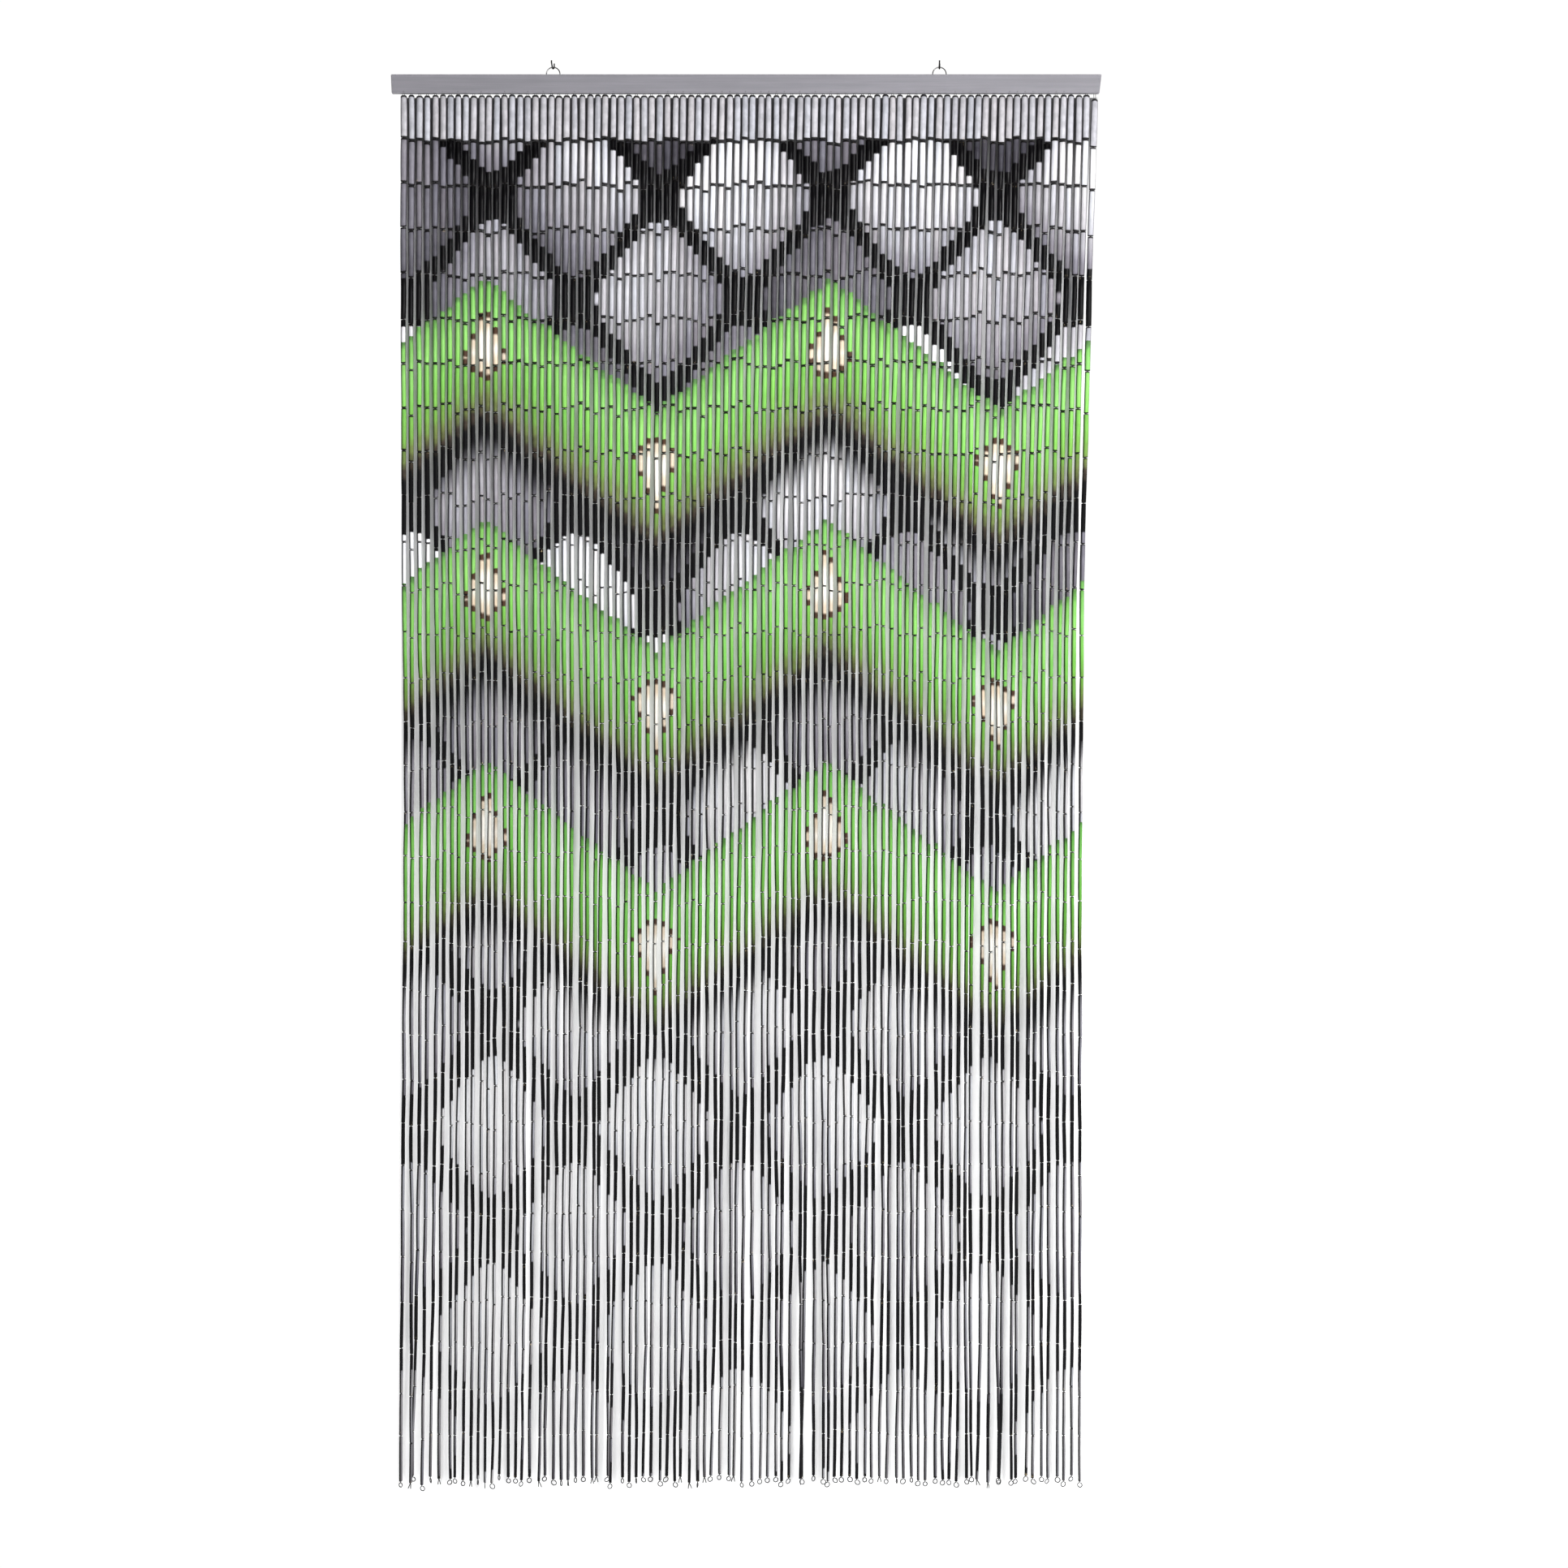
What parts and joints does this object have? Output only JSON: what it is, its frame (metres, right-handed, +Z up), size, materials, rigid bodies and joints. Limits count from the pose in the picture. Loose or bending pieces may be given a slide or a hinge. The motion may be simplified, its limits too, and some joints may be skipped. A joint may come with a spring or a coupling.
{
  "type": "bead curtain with batten and hooks",
  "caption": "Bead curtain of painted bamboo tubes linked by wire into hanging strands under a slim painted batten, with wire hanging rings on hooks.",
  "frame": {"origin": "middle of the batten's top face", "axes": "+Z up, +X along the batten to the right as seen from the front, -Y out of the front"},
  "size_m": [0.8999, 0.0159, 1.8155],
  "materials": {
    "batten_paint": "brushed-on mauve-grey satin paint",
    "bead_paint": "satin paint on bamboo, in greys, green, white and black",
    "ring_steel": "bright drawn wire",
    "hook_steel": "dark satin wire"
  },
  "bodies": {
    "root": {"batten": "batten_paint", "strand_comb": "bead_paint", "ring_left": "ring_steel", "ring_right": "ring_steel", "staple_left": "ring_steel", "staple_right": "ring_steel", "hook_left": "hook_steel", "hook_right": "hook_steel"}
  },
  "joints": []
}
